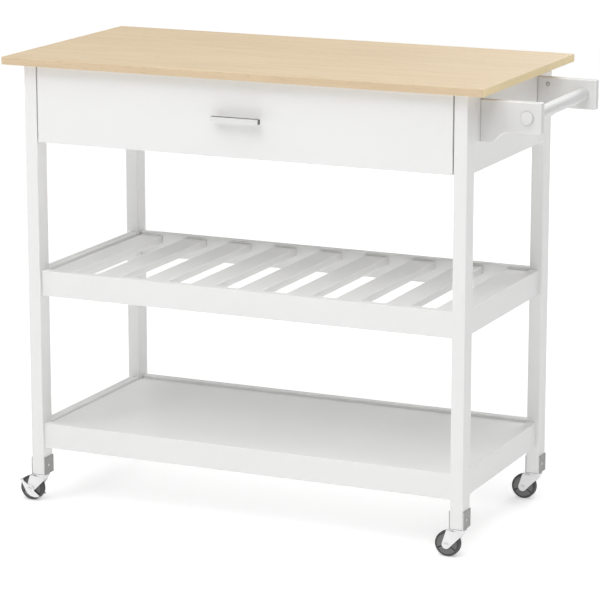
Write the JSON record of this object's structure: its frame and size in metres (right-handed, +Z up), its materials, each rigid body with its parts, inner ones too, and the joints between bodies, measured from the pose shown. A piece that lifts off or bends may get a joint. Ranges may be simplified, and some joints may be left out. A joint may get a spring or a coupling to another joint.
{
  "type": "rolling kitchen cart",
  "caption": "Rolling kitchen cart with a wooden worktop on white posts, a drawer, a slatted shelf, a closed shelf, a towel bar and swivel casters.",
  "frame": {"origin": "floor level, under the middle of the whole object's box, towel rail included", "axes": "+X along the length towards the towel bar, +Y towards the back, drawer side at -Y, +Z up"},
  "size_m": [1.0798, 0.5, 0.9],
  "materials": {
    "worktop_wood": "light beech, straight grain along the length, satin clear coat",
    "white_paint": "white satin paint on wood",
    "drawer_board": "off-white coated board",
    "pull_metal": "satin nickel, brushed along the bar",
    "runner_zinc": "zinc-plated rolled steel",
    "bright_zinc": "bright zinc plate on stamped steel",
    "dull_steel": "dull zinc-plated sheet",
    "wheel_grey": "moulded dark grey, satin web and matt tread"
  },
  "bodies": {
    "frame": {"worktop": "worktop_wood", "leg_front_left": "white_paint", "leg_front_right": "white_paint", "leg_back_left": "white_paint", "leg_back_right": "white_paint", "side_panel_left": "white_paint", "side_panel_right": "white_paint", "back_panel": "white_paint", "middle_rail_front": "white_paint", "middle_rail_back": "white_paint", "middle_rail_left": "white_paint", "middle_rail_right": "white_paint", "bottom_rail_front": "white_paint", "bottom_rail_back": "white_paint", "bottom_rail_left": "white_paint", "bottom_rail_right": "white_paint", "slat_1": "white_paint", "slat_2": "white_paint", "slat_3": "white_paint", "slat_4": "white_paint", "slat_5": "white_paint", "slat_6": "white_paint", "slat_7": "white_paint", "slat_8": "white_paint", "slat_9": "white_paint", "bottom_shelf_panel": "white_paint", "runner_fixed_left": "runner_zinc", "runner_fixed_right": "runner_zinc", "towel_bracket_front": "white_paint", "towel_bracket_back": "white_paint", "bracket_nut_front": "bright_zinc", "bracket_nut_back": "bright_zinc", "towel_bar": "white_paint", "caster_saddle_front_left": "dull_steel", "caster_saddle_front_right": "dull_steel", "caster_saddle_back_left": "dull_steel", "caster_saddle_back_right": "dull_steel"},
    "drawer": {"drawer_front": "white_paint", "drawer_side_left": "drawer_board", "drawer_side_right": "drawer_board", "drawer_back": "drawer_board", "drawer_bottom": "drawer_board", "drawer_pull": "pull_metal", "runner_moving_left": "runner_zinc", "runner_moving_right": "runner_zinc"},
    "swivel_front_left": {"caster_fork_front_left": "bright_zinc", "caster_axle_front_left": "bright_zinc"},
    "wheel_front_left": {"caster_wheel_front_left": "wheel_grey"},
    "brake_front_left": {"caster_brake_front_left": "bright_zinc"},
    "swivel_front_right": {"caster_fork_front_right": "bright_zinc", "caster_axle_front_right": "bright_zinc"},
    "wheel_front_right": {"caster_wheel_front_right": "wheel_grey"},
    "swivel_back_left": {"caster_fork_back_left": "bright_zinc", "caster_axle_back_left": "bright_zinc"},
    "wheel_back_left": {"caster_wheel_back_left": "wheel_grey"},
    "brake_back_left": {"caster_brake_back_left": "bright_zinc"},
    "swivel_back_right": {"caster_fork_back_right": "bright_zinc", "caster_axle_back_right": "bright_zinc"},
    "wheel_back_right": {"caster_wheel_back_right": "wheel_grey"}
  },
  "joints": [
    {"name": "drawer_slide", "type": "slide", "parent": "frame", "child": "drawer", "axis": [0, -1, 0], "range_m": [0, 0.28]},
    {"name": "swivel_turn_front_left", "type": "hinge", "parent": "frame", "child": "swivel_front_left", "pos_m": [-0.4884, -0.2085, 0.055], "axis": [0, 0, 1], "continuous": true},
    {"name": "wheel_spin_front_left", "type": "hinge", "parent": "swivel_front_left", "child": "wheel_front_left", "pos_m": [-0.5109, -0.2085, 0.025], "axis": [0, 1, 0], "continuous": true},
    {"name": "brake_press_front_left", "type": "hinge", "parent": "swivel_front_left", "child": "brake_front_left", "pos_m": [-0.5109, -0.2085, 0.025], "axis": [0, -1, 0], "range_deg": [0, 14]},
    {"name": "swivel_turn_front_right", "type": "hinge", "parent": "frame", "child": "swivel_front_right", "pos_m": [0.4086, -0.2085, 0.055], "axis": [0, 0, 1], "continuous": true},
    {"name": "wheel_spin_front_right", "type": "hinge", "parent": "swivel_front_right", "child": "wheel_front_right", "pos_m": [0.3861, -0.2085, 0.025], "axis": [0, 1, 0], "continuous": true},
    {"name": "swivel_turn_back_left", "type": "hinge", "parent": "frame", "child": "swivel_back_left", "pos_m": [-0.4884, 0.2085, 0.055], "axis": [0, 0, 1], "continuous": true},
    {"name": "wheel_spin_back_left", "type": "hinge", "parent": "swivel_back_left", "child": "wheel_back_left", "pos_m": [-0.5109, 0.2085, 0.025], "axis": [0, 1, 0], "continuous": true},
    {"name": "brake_press_back_left", "type": "hinge", "parent": "swivel_back_left", "child": "brake_back_left", "pos_m": [-0.5109, 0.2085, 0.025], "axis": [0, -1, 0], "range_deg": [0, 14]},
    {"name": "swivel_turn_back_right", "type": "hinge", "parent": "frame", "child": "swivel_back_right", "pos_m": [0.4086, 0.2085, 0.055], "axis": [0, 0, 1], "continuous": true},
    {"name": "wheel_spin_back_right", "type": "hinge", "parent": "swivel_back_right", "child": "wheel_back_right", "pos_m": [0.3861, 0.2085, 0.025], "axis": [0, 1, 0], "continuous": true}
  ]
}
